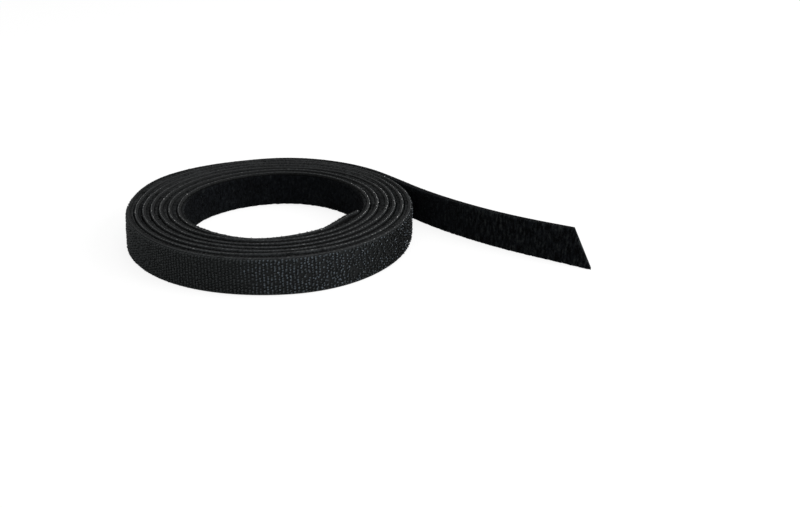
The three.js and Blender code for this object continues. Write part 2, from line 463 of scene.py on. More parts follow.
def strip(name, lengths, depths, heights, material):
    """A closed band: one ring of depths and heights at each length, capped at both ends."""
    steps, ring = depths.shape
    along = to_cut(np.broadcast_to(lengths[:, None], depths.shape), depths, heights)
    points = wound(along, depths, heights).reshape(-1, 3)
    first = np.arange(steps - 1)[:, None] * ring
    here = np.arange(ring)[None]
    there = (here + 1) % ring
    quads = np.stack([first + here, first + there, first + ring + there, first + ring + here], -1)
    start_cap = np.arange(ring)[::-1]
    end_cap = np.arange(ring) + (steps - 1) * ring
    corners = np.concatenate([quads.ravel(), start_cap, end_cap])
    counts = np.concatenate([np.full(quads.size // 4, 4), [ring, ring]])
    uv = np.stack([along.ravel(), heights.ravel()], -1)
    return new_piece(name, points, corners, counts, material, uv=uv)


def tubes(name, roots, across, up, profile, scale, radius, shade, material, sides=3, flatness=1.0):
    """Many thin tubes, each bent in its own plane: profile rows are x, y and thickness along the tube."""
    x, y, thickness = profile.T
    centre = (roots[:, None] + (x[None] * scale[:, :1])[..., None] * across[:, None]
              + (y[None] * scale[:, 1:])[..., None] * up[:, None])
    run = np.gradient(centre, axis=1)
    run /= np.linalg.norm(run, axis=2, keepdims=True)
    aside = np.cross(across, up)[:, None]
    over = np.cross(aside, run)
    turn = np.arange(sides) * 2 * np.pi / sides
    ring = (np.cos(turn)[:, None] * over[:, :, None]
            + flatness * np.sin(turn)[:, None] * aside[:, :, None])
    flat = centre[:, :, None] + ring * (radius[:, None] * thickness[None])[..., None, None]
    points = wound(flat[..., 0], flat[..., 1], flat[..., 2]).reshape(-1, 3)
    count, rings = centre.shape[:2]
    base = (np.arange(count)[:, None, None] * rings + np.arange(rings - 1)[None, :, None]) * sides
    here = np.arange(sides)[None, None]
    there = (here + 1) % sides
    quads = np.stack([base + here, base + there, base + sides + there, base + sides + here], -1)
    first = np.arange(count)[:, None] * rings * sides
    root_caps = first + np.arange(sides)[::-1][None]
    tip_caps = first + (rings - 1) * sides + np.arange(sides)[None]
    corners = np.concatenate([quads.ravel(), root_caps.ravel(), tip_caps.ravel()])
    counts = np.concatenate([np.full(quads.size // 4, 4), np.full(2 * count, sides)])
    values = {
        "reach": np.tile(np.repeat(np.linspace(0, 1, rings), sides), count),
        "shade": np.repeat(shade, rings * sides),
    }
    return new_piece(name, points, corners, counts, material, values=values)


def unit(rows):
    return rows / np.linalg.norm(rows, axis=1, keepdims=True)


def square_to(rows, up):
    """Unit rows turned to stand square to up."""
    return unit(rows - up * np.sum(rows * up, 1, keepdims=True))


# Materials

def material_nodes(name):
    material = bpy.data.materials.new(name)
    material.use_nodes = True
    tree = material.node_tree
    return material, tree, tree.nodes["Principled BSDF"]


def node(tree, kind, **settings):
    made = tree.nodes.new(kind)
    for key, value in settings.items():
        setattr(made, key, value)
    return made


def ramp(tree, source, stops):
    made = node(tree, "ShaderNodeValToRGB")
    while len(made.color_ramp.elements) < len(stops):
        made.color_ramp.elements.new(0.5)
    for element, (position, colour) in zip(made.color_ramp.elements, stops):
        element.position = position
        element.color = (*colour, 1)
    tree.links.new(source, made.inputs["Fac"])
    return made.outputs["Color"]


def noise(tree, vector, scale, detail=3.0, roughness=0.6):
    made = node(tree, "ShaderNodeTexNoise")
    made.inputs["Scale"].default_value = scale
    made.inputs["Detail"].default_value = detail
    made.inputs["Roughness"].default_value = roughness
    tree.links.new(vector, made.inputs["Vector"])
    return made.outputs["Fac"]


def math_node(tree, operation, first, second):
    made = node(tree, "ShaderNodeMath", operation=operation)
    for socket, value in zip(made.inputs, (first, second)):
        if isinstance(value, (int, float)):
            socket.default_value = value
        else:
            tree.links.new(value, socket)
    return made.outputs["Value"]


def times(tree, first, second):
    return math_node(tree, "MULTIPLY", first, second)


def plus(tree, first, second):
    return math_node(tree, "ADD", first, second)


def minus(tree, first, second):
    return math_node(tree, "SUBTRACT", first, second)


def larger(tree, first, second):
    return math_node(tree, "MAXIMUM", first, second)


def mix_colour(tree, factor, first, second):
    made = node(tree, "ShaderNodeMix", data_type="RGBA")
    for socket, value in zip((made.inputs[0], made.inputs[6], made.inputs[7]), (factor, first, second)):
        if isinstance(value, tuple):
            socket.default_value = (*value, 1)
        else:
            tree.links.new(value, socket)
    return made.outputs[2]


def map_range(tree, value, low, high, to_low, to_high):
    made = node(tree, "ShaderNodeMapRange")
    for key, number in (("From Min", low), ("From Max", high), ("To Min", to_low), ("To Max", to_high)):
        made.inputs[key].default_value = number
    tree.links.new(value, made.inputs["Value"])
    return made.outputs["Result"]


def bump(tree, shader, height, distance, strength=1.0):
    made = node(tree, "ShaderNodeBump")
    made.inputs["Strength"].default_value = strength
    made.inputs["Distance"].default_value = distance
    tree.links.new(height, made.inputs["Height"])
    tree.links.new(made.outputs["Normal"], shader.inputs["Normal"])


def tinted(colour, share):
    return tuple(share * c for c in colour)


def tape_place(tree):
    """Places on the flat tape: the length along it and the height across it."""
    return node(tree, "ShaderNodeUVMap", uv_map="tape").outputs["UV"]


def roll_place(tree):
    """Places on the roll."""
    return node(tree, "ShaderNodeNewGeometry").outputs["Position"]


def coordinate(tree, place, axis):
    split = node(tree, "ShaderNodeSeparateXYZ")
    tree.links.new(place, split.inputs["Vector"])
    return split.outputs[axis]


def wave(tree, value, pitch):
    return math_node(tree, "SINE", times(tree, value, 2 * math.pi / pitch), 0)


def edge_mask(tree, place, inset):
    """1 on the two cut edges of the tape and 0 further in than inset."""
    half = TAPE_WIDTH / 2
    from_middle = minus(tree, coordinate(tree, place, "Z"), half)
    out = math_node(tree, "ABSOLUTE", from_middle, 0)
    return map_range(tree, out, half - inset, half - inset / 3, 0, 1)


def beyond(tree, place, near, far, to_near, to_far):
    """Goes from one number to another between two distances behind the coil's axis."""
    away = coordinate(tree, place, "Y")
    return map_range(tree, away, COIL_AXIS.y + near, COIL_AXIS.y + far, to_near, to_far)


def along_share(tree, start, end):
    """Goes from 0 to 1 between two lengths along the tape."""
    return map_range(tree, coordinate(tree, tape_place(tree), "X"), start, end, 0, 1)


def on_tail_share(tree, start=0.0, end=FREEING_LENGTH):
    """Goes from 0 on the coil to 1 on the free tail, between two lengths past the peel line."""
    return along_share(tree, COIL_LENGTH + start, COIL_LENGTH + end)


def woven_material(name, face, edge, edge_inset, weft_pitch, rough, shadow_kept):
    """A woven nylon ground: fine ribs across the tape, painted shade on its face at the roll's far right,
    and paler, scuffed selvedges with painted sheen and painted shade.
    """
    material, tree, shader = material_nodes(name)
    place = roll_place(tree)
    along = coordinate(tree, tape_place(tree), "X")
    height = coordinate(tree, tape_place(tree), "Y")

    # Face, with painted shade at the roll's far right
    weave = times(tree, wave(tree, along, weft_pitch), wave(tree, height, WARP_PITCH))
    shadowed = LAST_TURN_START + SHADOWED_LENGTH
    out_of_shadow = map_range(tree, along, shadowed, shadowed + SHADOWED_FADE, shadow_kept, 1)
    lit = times(tree, map_range(tree, weave, -1, 1, 0.5, 1), out_of_shadow)
    cloth = ramp(tree, lit, [(0.0, (0, 0, 0)), (1.0, face)])

    # Selvedges, with painted shade on the last part of the roll and a painted sheen where they face the
    # front or the back
    streak = noise(tree, place, scale=900.0, detail=4.0)
    scuff = noise(tree, place, scale=170.0, detail=5.0, roughness=0.7)
    fine = times(tree, streak, FINE_SCUFFS)
    scuffed = plus(tree, fine, times(tree, scuff, 1 - FINE_SCUFFS))
    selvedge = ramp(tree, scuffed, [
        (0.36, tinted(edge, 0.3)),
        (0.5, edge),
        (0.64, edge),
        (0.74, tinted(edge, 2.4)),
    ])
    # Painted sheen where the selvedges face the front or the back
    pale = ramp(tree, scuffed, [
        (0.4, tinted(edge, 0.5)),
        (0.5, tinted(edge, 1.7)),
        (0.64, tinted(edge, 2.5)),
    ])
    # Painted shade on the selvedges of the last part of the roll
    in_shade = COIL_LENGTH - SHADE_BEFORE_PEEL
    kept = map_range(tree, along, in_shade - SHADE_FADE_LENGTH, in_shade, 1, SHADE_KEPT)
    dull = mix_colour(tree, kept, tinted(edge, 0.55), selvedge)
    front = beyond(tree, place, -SIDE_FAR, -SIDE_NEAR, 1, 0)
    back = beyond(tree, place, SIDE_NEAR, SIDE_FAR, 0, 1)
    last = along_share(tree, LAST_TURN_START, LAST_TURN_START + LAST_TURN_FADE)
    # Less painted sheen on the last turn's front
    facing = minus(tree, front, times(tree, last, LAST_TURN_LESS_SHEEN))
    flat_on = larger(tree, facing, times(tree, kept, back))
    sheen_and_shade = mix_colour(tree, flat_on, dull, pale)

    # Edges of the outermost turn's back, near black as painted shade, and of the tail, also near black
    mask = edge_mask(tree, place, edge_inset)
    outermost = times(tree, back, minus(tree, 1, kept))
    shaded = larger(tree, outermost, on_tail_share(tree))
    darkened = times(tree, mask, shaded)
    shown = mix_colour(tree, darkened, mix_colour(tree, mask, cloth, sheen_and_shade), DARK_EDGE)
    tree.links.new(shown, shader.inputs["Base Color"])

    tree.links.new(map_range(tree, scuff, 0.3, 0.7, rough - 0.1, rough + 0.1), shader.inputs["Roughness"])
    shader.inputs["Specular IOR Level"].default_value = 0.06
    ribs = plus(tree, weave, times(tree, streak, 1.5))
    bump(tree, shader, ribs, distance=0.05 * MM, strength=0.6)
    return material


def film_material(name, colour):
    """A dull adhesive film that shows only as a line between the webs."""
    material, tree, shader = material_nodes(name)
    grain = noise(tree, roll_place(tree), scale=600.0)
    shown = ramp(tree, grain, [(0.35, tinted(colour, 0.5)), (0.7, colour)])
    tree.links.new(shown, shader.inputs["Base Color"])
    tree.links.new(map_range(tree, grain, 0.3, 0.7, 0.5, 0.75), shader.inputs["Roughness"])
    shader.inputs["Specular IOR Level"].default_value = 0.08
    return material


def tube_values(tree):
    reach = node(tree, "ShaderNodeAttribute", attribute_name="reach").outputs["Fac"]
    shade = node(tree, "ShaderNodeAttribute", attribute_name="shade").outputs["Fac"]
    return reach, shade


def hook_material(name, back, crest, glint_colour):
    """Stiff nylon hooks: a little gloss, paler where they bend over as a painted highlight, near black for
    shades below 0 as painted shade, and with painted glints on some cut tips.
    """
    material, tree, shader = material_nodes(name)
    reach, shade = tube_values(tree)
    # Painted highlight where the hooks bend over
    rising = map_range(tree, reach, 0.4, 0.55, 0, 1)
    bent = times(tree, rising, map_range(tree, reach, 0.72, 0.88, 1, 0.15))
    shown = times(tree, bent, map_range(tree, shade, 0, 0.9, 0.06, 1.0))
    # Painted glints on some cut tips
    tip = map_range(tree, reach, 0.78, 0.92, 0, 1)
    cut = times(tree, tip, map_range(tree, shade, 0.88, 0.96, 0, 1))
    # Painted shade: shades below 0 go towards black
    shaded_back = mix_colour(tree, map_range(tree, shade, -1, 0, 0.1, 1), (0, 0, 0), back)
    colour = mix_colour(tree, cut, mix_colour(tree, shown, shaded_back, crest), glint_colour)
    tree.links.new(colour, shader.inputs["Base Color"])
    tree.links.new(map_range(tree, shade, 0, 1, 0.5, 0.36), shader.inputs["Roughness"])
    shader.inputs["Specular IOR Level"].default_value = 0.16
    return material


def pile_material(name, deep, surface, tuft, edge):
    """Napped loop pile: nearly black on its face, a little paler along the edges of the tape, with painted
    shade on them at the front and at the back of the bore.
    """
    material, tree, shader = material_nodes(name)
    place = roll_place(tree)

    # Face, which is calm on the coil and in tufts on the tail
    nap = noise(tree, place, scale=1500.0, detail=4.0)
    cloud = noise(tree, place, scale=120.0, detail=3.0)
    brushed = node(tree, "ShaderNodeMapping")
    brushed.inputs["Scale"].default_value = (1.0, 0.25, 1.0)
    tree.links.new(tape_place(tree), brushed.inputs["Vector"])
    streak = noise(tree, brushed.outputs["Vector"], scale=2000.0, detail=3.0)
    doubled = times(tree, streak, 2)
    calm = map_range(tree, plus(tree, cloud, doubled), 1.1, 1.9, 0.55, 1.6)
    bunched = noise(tree, brushed.outputs["Vector"], scale=1500.0, detail=2.0)
    tufts = map_range(tree, bunched, 0.4, 0.7, 0.4, 2.4)
    ruffling = on_tail_share(tree, *RUFFLED_PILE)
    held = times(tree, calm, minus(tree, 1, ruffling))
    patchy = plus(tree, held, times(tree, tufts, ruffling))
    shown = times(tree, nap, patchy)
    face = ramp(tree, shown, [(0.25, deep), (0.75, surface), (1.0, tuft)])

    # Edges, darker at the front and dark at the back of the bore as painted shade, and lost on the tail
    front = beyond(tree, place, -SIDE_FAR, -SIDE_NEAR, FRONT_RIM, 1)
    bore = minus(tree, 1, along_share(tree, BORE_SHARE * FIRST_TURN, FIRST_TURN))
    bore_back = times(tree, bore, beyond(tree, place, 0, BORE_SHADE_FADE, 0, BORE_SHADE))
    lit = minus(tree, front, bore_back)
    rim = ramp(tree, times(tree, shown, lit), [(0.3, deep), (0.7, edge)])
    pressed = minus(tree, 1, on_tail_share(tree, -DARK_BEFORE_PEEL))
    mask = times(tree, edge_mask(tree, place, PILE_MARGIN + 0.2 * MM), pressed)
    tree.links.new(mix_colour(tree, mask, face, rim), shader.inputs["Base Color"])

    tree.links.new(map_range(tree, cloud, 0.3, 0.7, 0.85, 1.0), shader.inputs["Roughness"])
    shader.inputs["Specular IOR Level"].default_value = 0.03
    bump(tree, shader, nap, distance=0.12 * MM)
    return material


def yarn_material(name, root, tip):
    """The yarns of the loop pile, darkest at their roots."""
    material, tree, shader = material_nodes(name)
    reach, shade = tube_values(tree)
    crown = math_node(tree, "SINE", times(tree, reach, math.pi), 0)
    shown = times(tree, crown, shade)
    tree.links.new(mix_colour(tree, shown, root, tip), shader.inputs["Base Color"])
    tree.links.new(map_range(tree, shade, 0, 1, 0.6, 0.8), shader.inputs["Roughness"])
    shader.inputs["Specular IOR Level"].default_value = 0.04
    return material


def selvedge_material(name, stops):
    """The edge yarns of the hook web and its cut ends: dull grey, with some bright at random and more where
    glints and light are painted.
    """
    material, tree, shader = material_nodes(name)
    reach, shade = tube_values(tree)
    tree.links.new(ramp(tree, shade, stops), shader.inputs["Base Color"])
    tree.links.new(map_range(tree, reach, 0, 1, 0.6, 0.75), shader.inputs["Roughness"])
    shader.inputs["Specular IOR Level"].default_value = 0.08
    return material


# Near-black edges: painted shade at the back of the outermost turn, and the tail's edges
DARK_EDGE = (0.0025, 0.0026, 0.0028)
HOOK_WEB_CLOTH = woven_material(
    "hook_web_cloth", (0.026, 0.0285, 0.029), (0.0185, 0.02, 0.021), 0.35 * MM, 0.45 * MM, 0.7, 0.12)
LOOP_WEB_CLOTH = woven_material(
    "loop_web_cloth", (0.03, 0.032, 0.032), (0.0135, 0.0142, 0.0147), 0.14 * MM, 0.5 * MM, 0.8, 1)
ADHESIVE = film_material("bond_film_adhesive", (0.012, 0.012, 0.012))
# The hooks' crest colour is a painted bluish highlight, and the last colour painted glints
HOOK_NYLON = hook_material(
    "hook_nylon", (0.02, 0.0224, 0.0226), (0.1, 0.122, 0.145), (0.9, 0.92, 0.94))
PILE_NAP = pile_material(
    "pile_nap", (0.0014, 0.0015, 0.0017), (0.0088, 0.0102, 0.0122),
    (0.021, 0.0235, 0.023), (0.03, 0.0315, 0.032))
PILE_YARN = yarn_material("pile_yarn", (0.0015, 0.0015, 0.0017), (0.021, 0.023, 0.0245))
RIM_YARN = yarn_material("rim_yarn", (0.006, 0.006, 0.006), (0.055, 0.057, 0.057))
SELVEDGE = selvedge_material("selvedge_yarn", [
    (0.0, (0.002, 0.0021, 0.0021)),
    (0.2, (0.08, 0.083, 0.082)),
    (0.8, (0.23, 0.237, 0.233)),
    (1.0, (0.6, 0.6, 0.59)),
])


# Webs and bond film

def web_rings(lengths, layer, corner, rib):
    """Rings of a flat web with rounded edges, and with weft ribs on its outer face, at each length."""
    inner, outer = layer
    middle = (inner + outer) / 2
    swell = rib * (0.5 + 0.5 * np.cos(2 * np.pi * lengths / HOOK_PITCH))[:, None]
    side = np.array([inner, inner + 0.3 * corner, middle, outer - 0.3 * corner, outer])
    rise = np.array([corner, 0.3 * corner, 0.0, 0.3 * corner, corner])
    depths = np.tile(np.concatenate([side, side[::-1]]), (len(lengths), 1))
    depths[:, 4:6] += swell
    heights = np.concatenate([rise, TAPE_WIDTH - rise[::-1]])
    return depths, np.broadcast_to(heights, depths.shape)


def spaced(first, last, step):
    return np.linspace(first, last, max(2, round((last - first) / step) + 1))


def add_web(name, first, last, step, layer, corner, rib, material):
    lengths = spaced(first, last, step)
    depths, heights = web_rings(lengths, layer, corner, rib)
    return strip(name, lengths, depths, heights, material)


def selvedge_shades(lengths, rng):
    """A shade for each edge yarn: painted glints on the roll's sides and painted light on its right, painted
    shade on its last part, and dark on the tail.
    """
    turn = coil_turn(lengths)
    across = np.cos(coil_angle(turn))
    # Painted glints on both sides of the roll, and painted light on its right where the lamp falls
    brightness = SELVEDGE_BASE + GLINT_ON_SIDES * across**2 + LIGHT_ON_RIGHT * np.maximum(across, 0)
    outer = ease((turn - OUTER_FROM_TURN) / OUTER_FADE_TURNS)
    # Dimmer at the back of the roll
    brightness = brightness * (1 - behind(turn) * (BACK_DULL + OUTER_BACK_DULL * outer))
    slow, quick = (np.sin(lengths / run) for run in SELVEDGE_WAVES)
    brightness = brightness * (1 + SELVEDGE_SWING * slow * quick)
    brightness = brightness * (1 - FLAP_DULL * ease((FLAP_START - lengths) / FLAP_BEND))
    brightness = brightness * (1 - LAST_TURN_DULL * ease((lengths - LAST_TURN_START) / LAST_TURN_DULL_FADE))
    speck = np.exp(-((turn - SPECK_TURN) / SPECK_SPREAD) ** 2)
    brightness = brightness + BRIGHT_END * (lengths < SELVEDGE_PITCH) + BRIGHT_SPECK * speck
    # Painted shade on the last part of the roll
    in_shade = ease((lengths - COIL_LENGTH + SHADE_BEFORE_PEEL + SHADE_FADE_LENGTH) / SHADE_FADE_LENGTH)
    drawn = rng.random(len(lengths))
    even = YARN_SHADE + YARN_SHADE_SPREAD * drawn + BRIGHT_YARN_MORE * (drawn > BRIGHT_YARN_FROM)
    return even * brightness * (1 - (1 - SHADE_KEPT) * in_shade) * (lengths < COIL_LENGTH)


def add_selvedge(name, first, last, top, rng):
    """The weft yarn's turns along one edge of the hook web, as short bowed dashes."""
    lengths = np.arange(first, last - SELVEDGE_PITCH, SELVEDGE_PITCH) + SELVEDGE_PITCH / 2
    count = len(lengths)
    lengths = lengths + rng.normal(0, SELVEDGE_SPREAD_ALONG, count)
    middle = (HOOK_WEB[0] + HOOK_WEB[1]) / 2
    depths = middle + rng.normal(0, SELVEDGE_SPREAD_DEPTH, count)
    way = 1 if top else -1
    heights = np.full(count, TAPE_WIDTH - SELVEDGE_YARN if top else 2.6 * SELVEDGE_YARN)
    roots = np.stack([lengths, depths, heights], -1)
    tilt = rng.normal(0, SELVEDGE_SPREAD_TILT, count)
    across = np.stack([np.cos(tilt), np.sin(tilt), np.zeros(count)], -1)
    up = np.tile((0.0, 0.0, float(way)), (count, 1))
    scale = np.stack([rng.uniform(*SELVEDGE_DASH, count), rng.uniform(*SELVEDGE_BOW, count)], -1)
    radius = SELVEDGE_YARN * rng.uniform(0.75, 1.25, count)
    shade = selvedge_shades(lengths, rng)
    return tubes(name, roots, across, up, arch_profile(6), scale, radius, shade, SELVEDGE,
                 sides=4, flatness=1.15)


def add_fray(name, lengths, heights, way, rng):
    """Cut yarn ends that stand out of an end of the tape."""
    count = len(lengths)
    depths = rng.uniform(LOOP_WEB[0], HOOK_WEB[1], count)
    roots = np.stack([lengths - way * FRAY_SUNK, depths, heights], -1)
    aside = rng.normal(0, FRAY_SPREAD, count)
    rise = rng.normal(0, FRAY_SPREAD, count)
    across = unit(np.stack([np.full(count, float(way)), aside, rise], -1))
    up = square_to(np.tile((0.0, 1.0, 0.0), (count, 1)), across)
    scale = np.stack([rng.uniform(*FRAY_REACH, count), rng.normal(0, FRAY_BOW, count)], -1)
    radius = FRAY_YARN * rng.uniform(0.8, 1.3, count)
    shade = rng.random(count) ** 2
    return tubes(name, roots, across, up, FRAY_PROFILE, scale, radius, shade, SELVEDGE)


# Loop pile

def pile_grip(length):
    """1 where the pile is gripped by the hooks of the turn inside, and 0 in the bore and on the tail."""
    return ease((length - FIRST_TURN) / GRIP_LENGTH) - ease((length - COIL_LENGTH) / FREEING_LENGTH)


def pile_face(length, height):
    """Depth of the pile's face: up to the turn inside, or free in the bore and on the tail."""
    turn = coil_turn(length)
    inside = LOOP_WEB[0] - room_outside(np.maximum(turn - 1, 0), height)
    swollen = np.where(turn < FLAP_TURNS, FLAP_PILE, GRIPPED_PILE)
    gripped = np.clip(inside + PILE_CLEAR, swollen, PILE_DEPTH - LEAST_PILE)
    return FREE_PILE + (gripped - FREE_PILE) * pile_grip(length)


def pile_margin(length, top):
    """Bare width beside the pile, which is least on the free tail and at the back of the outer turns."""
    turn = coil_turn(length)
    back = behind(turn) * ease((turn - FULL_FROM_TURN) / FULL_FADE_TURNS)
    last = LAST_TURN_FULL * ease((length - LAST_TURN_START) / LAST_TURN_FULL_FADE)
    full = np.maximum(np.maximum(back, last), ease((length - COIL_LENGTH) / FREEING_LENGTH))
    widest = PILE_MARGIN if top else FOOT_PILE_MARGIN
    return widest + (LEAST_PILE_MARGIN - widest) * full


def add_pile_bed(name, first, last, step, rng):
    """The matted body of the pile under its loops."""
    lengths = spaced(first, last, step)
    across = np.concatenate([np.linspace(-1, 1, BED_POINTS), [1, -1]])
    low = pile_margin(lengths, False)[:, None]
    high = TAPE_WIDTH - pile_margin(lengths, True)[:, None]
    heights = (low + high) / 2 + across * (high - low) / 2
    face = pile_face(lengths[:, None], heights)
    rounding = ease((np.abs(across) - SHOULDER_FROM) / SHOULDER_FADE)
    shoulder = PILE_SHOULDER * pile_grip(lengths)[:, None] * rounding
    depths = np.minimum(face + PILE_RIM * across**BED_EDGE_POWER + shoulder, PILE_DEPTH - PILE_RIM)
    depths[:, -2:] = PILE_DEPTH
    depths[:, :-2] += rng.normal(0, BED_ROUGHNESS, (len(lengths), BED_POINTS))
    ragged = np.clip(heights + rng.normal(0, BED_RAGGEDNESS, depths.shape), BED_CLEAR, None)
    return strip(name, lengths, depths[:, ::-1], ragged[:, ::-1], PILE_NAP)


def arch_profile(points):
    """A loop of yarn, thinner towards its two feet."""
    t = np.linspace(0, 1, points)
    return np.stack([t - 0.5, np.sin(np.pi * t), 0.75 + 0.25 * np.sin(np.pi * t)], -1)


FRAY_PROFILE = np.array([(0.0, 0.0, 1.0), (0.5, 0.4, 1.0), (1.0, 1.0, 0.6)])


def brushed_shades(lengths, heights, rng):
    """A shade for each loop, patchy in narrow streaks across the tape."""
    columns = ((lengths - lengths.min()) / STREAK_WIDTH).astype(int)
    table = rng.random((columns.max() + 1, math.ceil(TAPE_WIDTH / STREAK_LENGTH) + 1)) ** 2
    row = heights / STREAK_LENGTH
    low = row.astype(int)
    share = row - low
    streaks = table[columns, low] * (1 - share) + table[columns, low + 1] * share
    stronger = np.where(lengths < COIL_LENGTH, COIL_STREAKS, TAIL_STREAKS)
    return (STREAK_LEAST + STREAK_MORE * streaks) * stronger * rng.random(len(lengths))


def face_loops(name, lengths, heights, rng):
    """Loops standing on the free face of the pile."""
    count = len(lengths)
    roots = np.stack([lengths, pile_face(lengths, heights) + LOOP_SUNK, heights], -1)
    spin = rng.uniform(0, np.pi, count)
    lean = rng.normal(0, LOOP_LEAN, (count, 2))
    up = unit(np.stack([lean[:, 0], -np.ones(count), lean[:, 1]], -1))
    across = square_to(np.stack([np.cos(spin), np.zeros(count), np.sin(spin)], -1), up)
    scale = np.stack([rng.uniform(*LOOP_SPAN, count), rng.uniform(*LOOP_RISE, count)], -1)
    radius = LOOP_YARN * rng.uniform(0.7, 1.3, count)
    shade = brushed_shades(lengths, heights, rng)
    return tubes(name, roots, across, up, arch_profile(5), scale, radius, shade, PILE_YARN)


def edge_loops(name, lengths, top, rng):
    """Loops that stand out of the pile along one edge of the tape."""
    count = len(lengths)
    way = 1 if top else -1
    margin = pile_margin(lengths, top)
    heights = TAPE_WIDTH - margin if top else np.maximum(margin, EDGE_LOOP_CLEAR)
    shoulder = pile_face(lengths, heights) + PILE_SHOULDER * pile_grip(lengths)
    face = np.minimum(shoulder, PILE_DEPTH - PILE_RIM)
    depths = face + rng.uniform(*EDGE_LOOP_DEPTH, count) * (PILE_DEPTH - face)
    roots = np.stack([lengths, depths, heights], -1)
    spin = rng.uniform(0, np.pi, count)
    lean = rng.normal(0, EDGE_LOOP_LEAN, (count, 2))
    up = unit(np.stack([lean[:, 0], lean[:, 1], np.full(count, way)], -1))
    across = square_to(np.stack([np.cos(spin), EDGE_LOOP_TURN * np.sin(spin), np.zeros(count)], -1), up)
    span = rng.uniform(*EDGE_LOOP_SPAN, count)
    rise = rng.uniform(*EDGE_LOOP_RISE, count) * margin
    scale = np.stack([span, rise], -1)
    radius = LOOP_YARN * rng.uniform(0.7, 1.2, count)
    away = np.sin(coil_angle(coil_turn(lengths)))
    # Painted shade at the back of the bore
    in_bore = np.where(lengths < BORE_LOOP_SHARE * FIRST_TURN, BORE_LOOP_SHADE * ease(away / BACK_FADE), 0)
    past_dark = (lengths - COIL_LENGTH + DARK_BEFORE_PEEL) / (DARK_BEFORE_PEEL + FREEING_LENGTH)
    dark = np.maximum(in_bore, TAIL_LOOP_SHADE * ease(past_dark))
    shade = rng.random(count) * (1 - dark)
    return tubes(name, roots, across, up, arch_profile(6), scale, radius, shade, RIM_YARN)


# Hooks

HOOK_PROFILE = np.array([
    (-0.14, 0.00, 1.10),
    (-0.09, 0.20, 1.05),
    (0.01, 0.37, 1.00),
    (0.14, 0.45, 1.00),
    (0.26, 0.40, 0.90),
    (0.31, 0.28, 0.60),
]) * (MM, MM, 1)


def ruffled(lengths):
    """1 for the hooks up to where the tail was pulled off, which stand unevenly, and 0 further on."""
    return 1 - ease((lengths - LAST_TURN_START - RUFFLED_LENGTH) / RUFFLED_FADE)


def hook_shades(lengths, heights, rng):
    """A shade for each hook: below 0, which is dark, for painted shade at the foot, on the side away from
    the lamp, between turns and on the roll's far right, and high for painted glints.
    """
    angle = coil_angle(coil_turn(lengths))
    # Painted shade on the side of the roll away from the lamp
    shaded_side = ease((np.cos(angle - SHADED_SIDE_ANGLE) - SHADED_SIDE_FROM) / SHADED_SIDE_FADE)
    last_turn = lengths > LAST_TURN_START
    shadowed = 1 - ease((lengths - LAST_TURN_START - SHADOWED_LENGTH) / SHADOWED_FADE)
    sparkling = 1 - ease((lengths - LAST_TURN_START - SPARKLING_LENGTH) / SPARKLING_FADE)
    drawn = rng.random(len(lengths))
    # The brightest hooks carry painted glints
    bright = (drawn > BRIGHT_FROM - SPARKLING_MORE * sparkling) & last_turn & (shaded_side < BRIGHT_BELOW_SHADED_SIDE)
    # Painted shade on the roll's far right and between the turns
    darkened = shadowed * np.where((drawn > UNSHADOWED_FROM) & last_turn, 0, 1)
    # Painted shade at the foot of the tape
    below = FOOT_SHADOW * (heights < HOOK_EDGE + EDGE_ROW)
    dark = np.maximum(darkened, np.maximum(below, SHADED_SIDE_DARK * shaded_side))
    even = np.minimum(drawn, MOST_SHADE) * (CALM_SHADE + (1 - CALM_SHADE) * ruffled(lengths))
    return np.where(bright, drawn, even * (1 - shaded_side) - dark)


def hook_heights(columns):
    """Heights of the hooks in each column, every other column half a step higher."""
    step = (TAPE_WIDTH - 2 * HOOK_EDGE) / (HOOK_ROWS - 1)
    stagger = 0.5 * (np.round(columns / HOOK_PITCH).astype(int) % 2)
    rows = np.arange(HOOK_ROWS + 1)[None] - stagger[:, None]
    return HOOK_EDGE + np.clip(rows, 0, HOOK_ROWS - 1) * step


def add_hooks(name, lengths, heights, rng):
    """Flat hooks with sloped backs, whose tips point along the tape towards its free end."""
    unruly = 1 + RUFFLED_SPREAD * ruffled(lengths)
    lengths = lengths + rng.normal(0, HOOK_SPREAD_ALONG, lengths.shape) * unruly
    strayed_up = heights + rng.normal(0, HOOK_SPREAD_ACROSS, heights.shape)
    heights = np.clip(strayed_up, HOOK_EDGE, TAPE_WIDTH - HOOK_EDGE)
    kept = (lengths + HOOK_TO_CUT < tail_end(heights)) & (rng.random(lengths.shape) > HOOKS_MISSING)
    lengths, heights, unruly = lengths[kept], heights[kept], unruly[kept]
    count = len(lengths)
    roots = np.stack([lengths, np.full(count, HOOK_WEB[1] - HOOK_SUNK), heights], -1)
    turn = rng.normal(0, HOOK_SPREAD_TURN, count) * unruly
    across = np.stack([np.cos(turn), np.zeros(count), np.sin(turn)], -1)
    up = np.tile((0.0, 1.0, 0.0), (count, 1))
    low = np.abs(heights - TAPE_WIDTH / 2) > TAPE_WIDTH / 2 - HOOK_EDGE - EDGE_ROW
    reach = rng.normal(1, HOOK_SPREAD_LENGTH, count)
    rise = rng.normal(1, HOOK_SPREAD_RISE, count) * np.where(low, EDGE_ROW_RISE, 1)
    scale = np.stack([reach, rise], -1)
    radius = HOOK_WIRE * rng.normal(1, HOOK_SPREAD_WIRE, count)
    shade = hook_shades(lengths, heights, rng)
    flatness = HOOK_FLATNESS - RUFFLED_NARROWING * ruffled(lengths)
    return tubes(name, roots, across, up, HOOK_PROFILE, scale, radius, shade, HOOK_NYLON,
                 sides=6, flatness=flatness[:, None, None, None])


# Pieces

